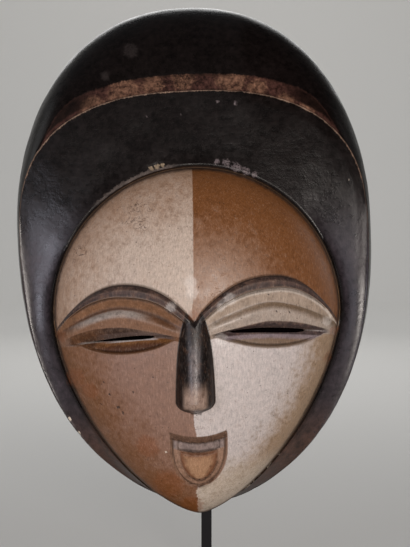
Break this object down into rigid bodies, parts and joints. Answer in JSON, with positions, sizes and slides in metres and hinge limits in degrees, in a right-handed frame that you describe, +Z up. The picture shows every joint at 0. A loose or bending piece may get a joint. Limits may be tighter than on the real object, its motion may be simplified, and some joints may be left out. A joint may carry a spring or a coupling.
{
  "type": "carved mask on a stand",
  "caption": "Hollow carved wooden face mask with quartered paint and a tall dark hood, held upright by a bent square bar on a flat foot.",
  "frame": {"origin": "centre of the foot's underside, on the surface that it stands on", "axes": "+Z up; the mask looks towards -Y; +X is the viewer's right"},
  "size_m": [0.2305, 0.1634, 0.3935],
  "materials": {
    "painted_wood": "carved wood under worn kaolin, ochre and soot-black pigment, rubbed to a low sheen",
    "black_steel": "black paint, low sheen"
  },
  "bodies": {
    "root": {"mask": "painted_wood", "stand_rod": "black_steel", "stand_foot": "black_steel"}
  },
  "joints": []
}
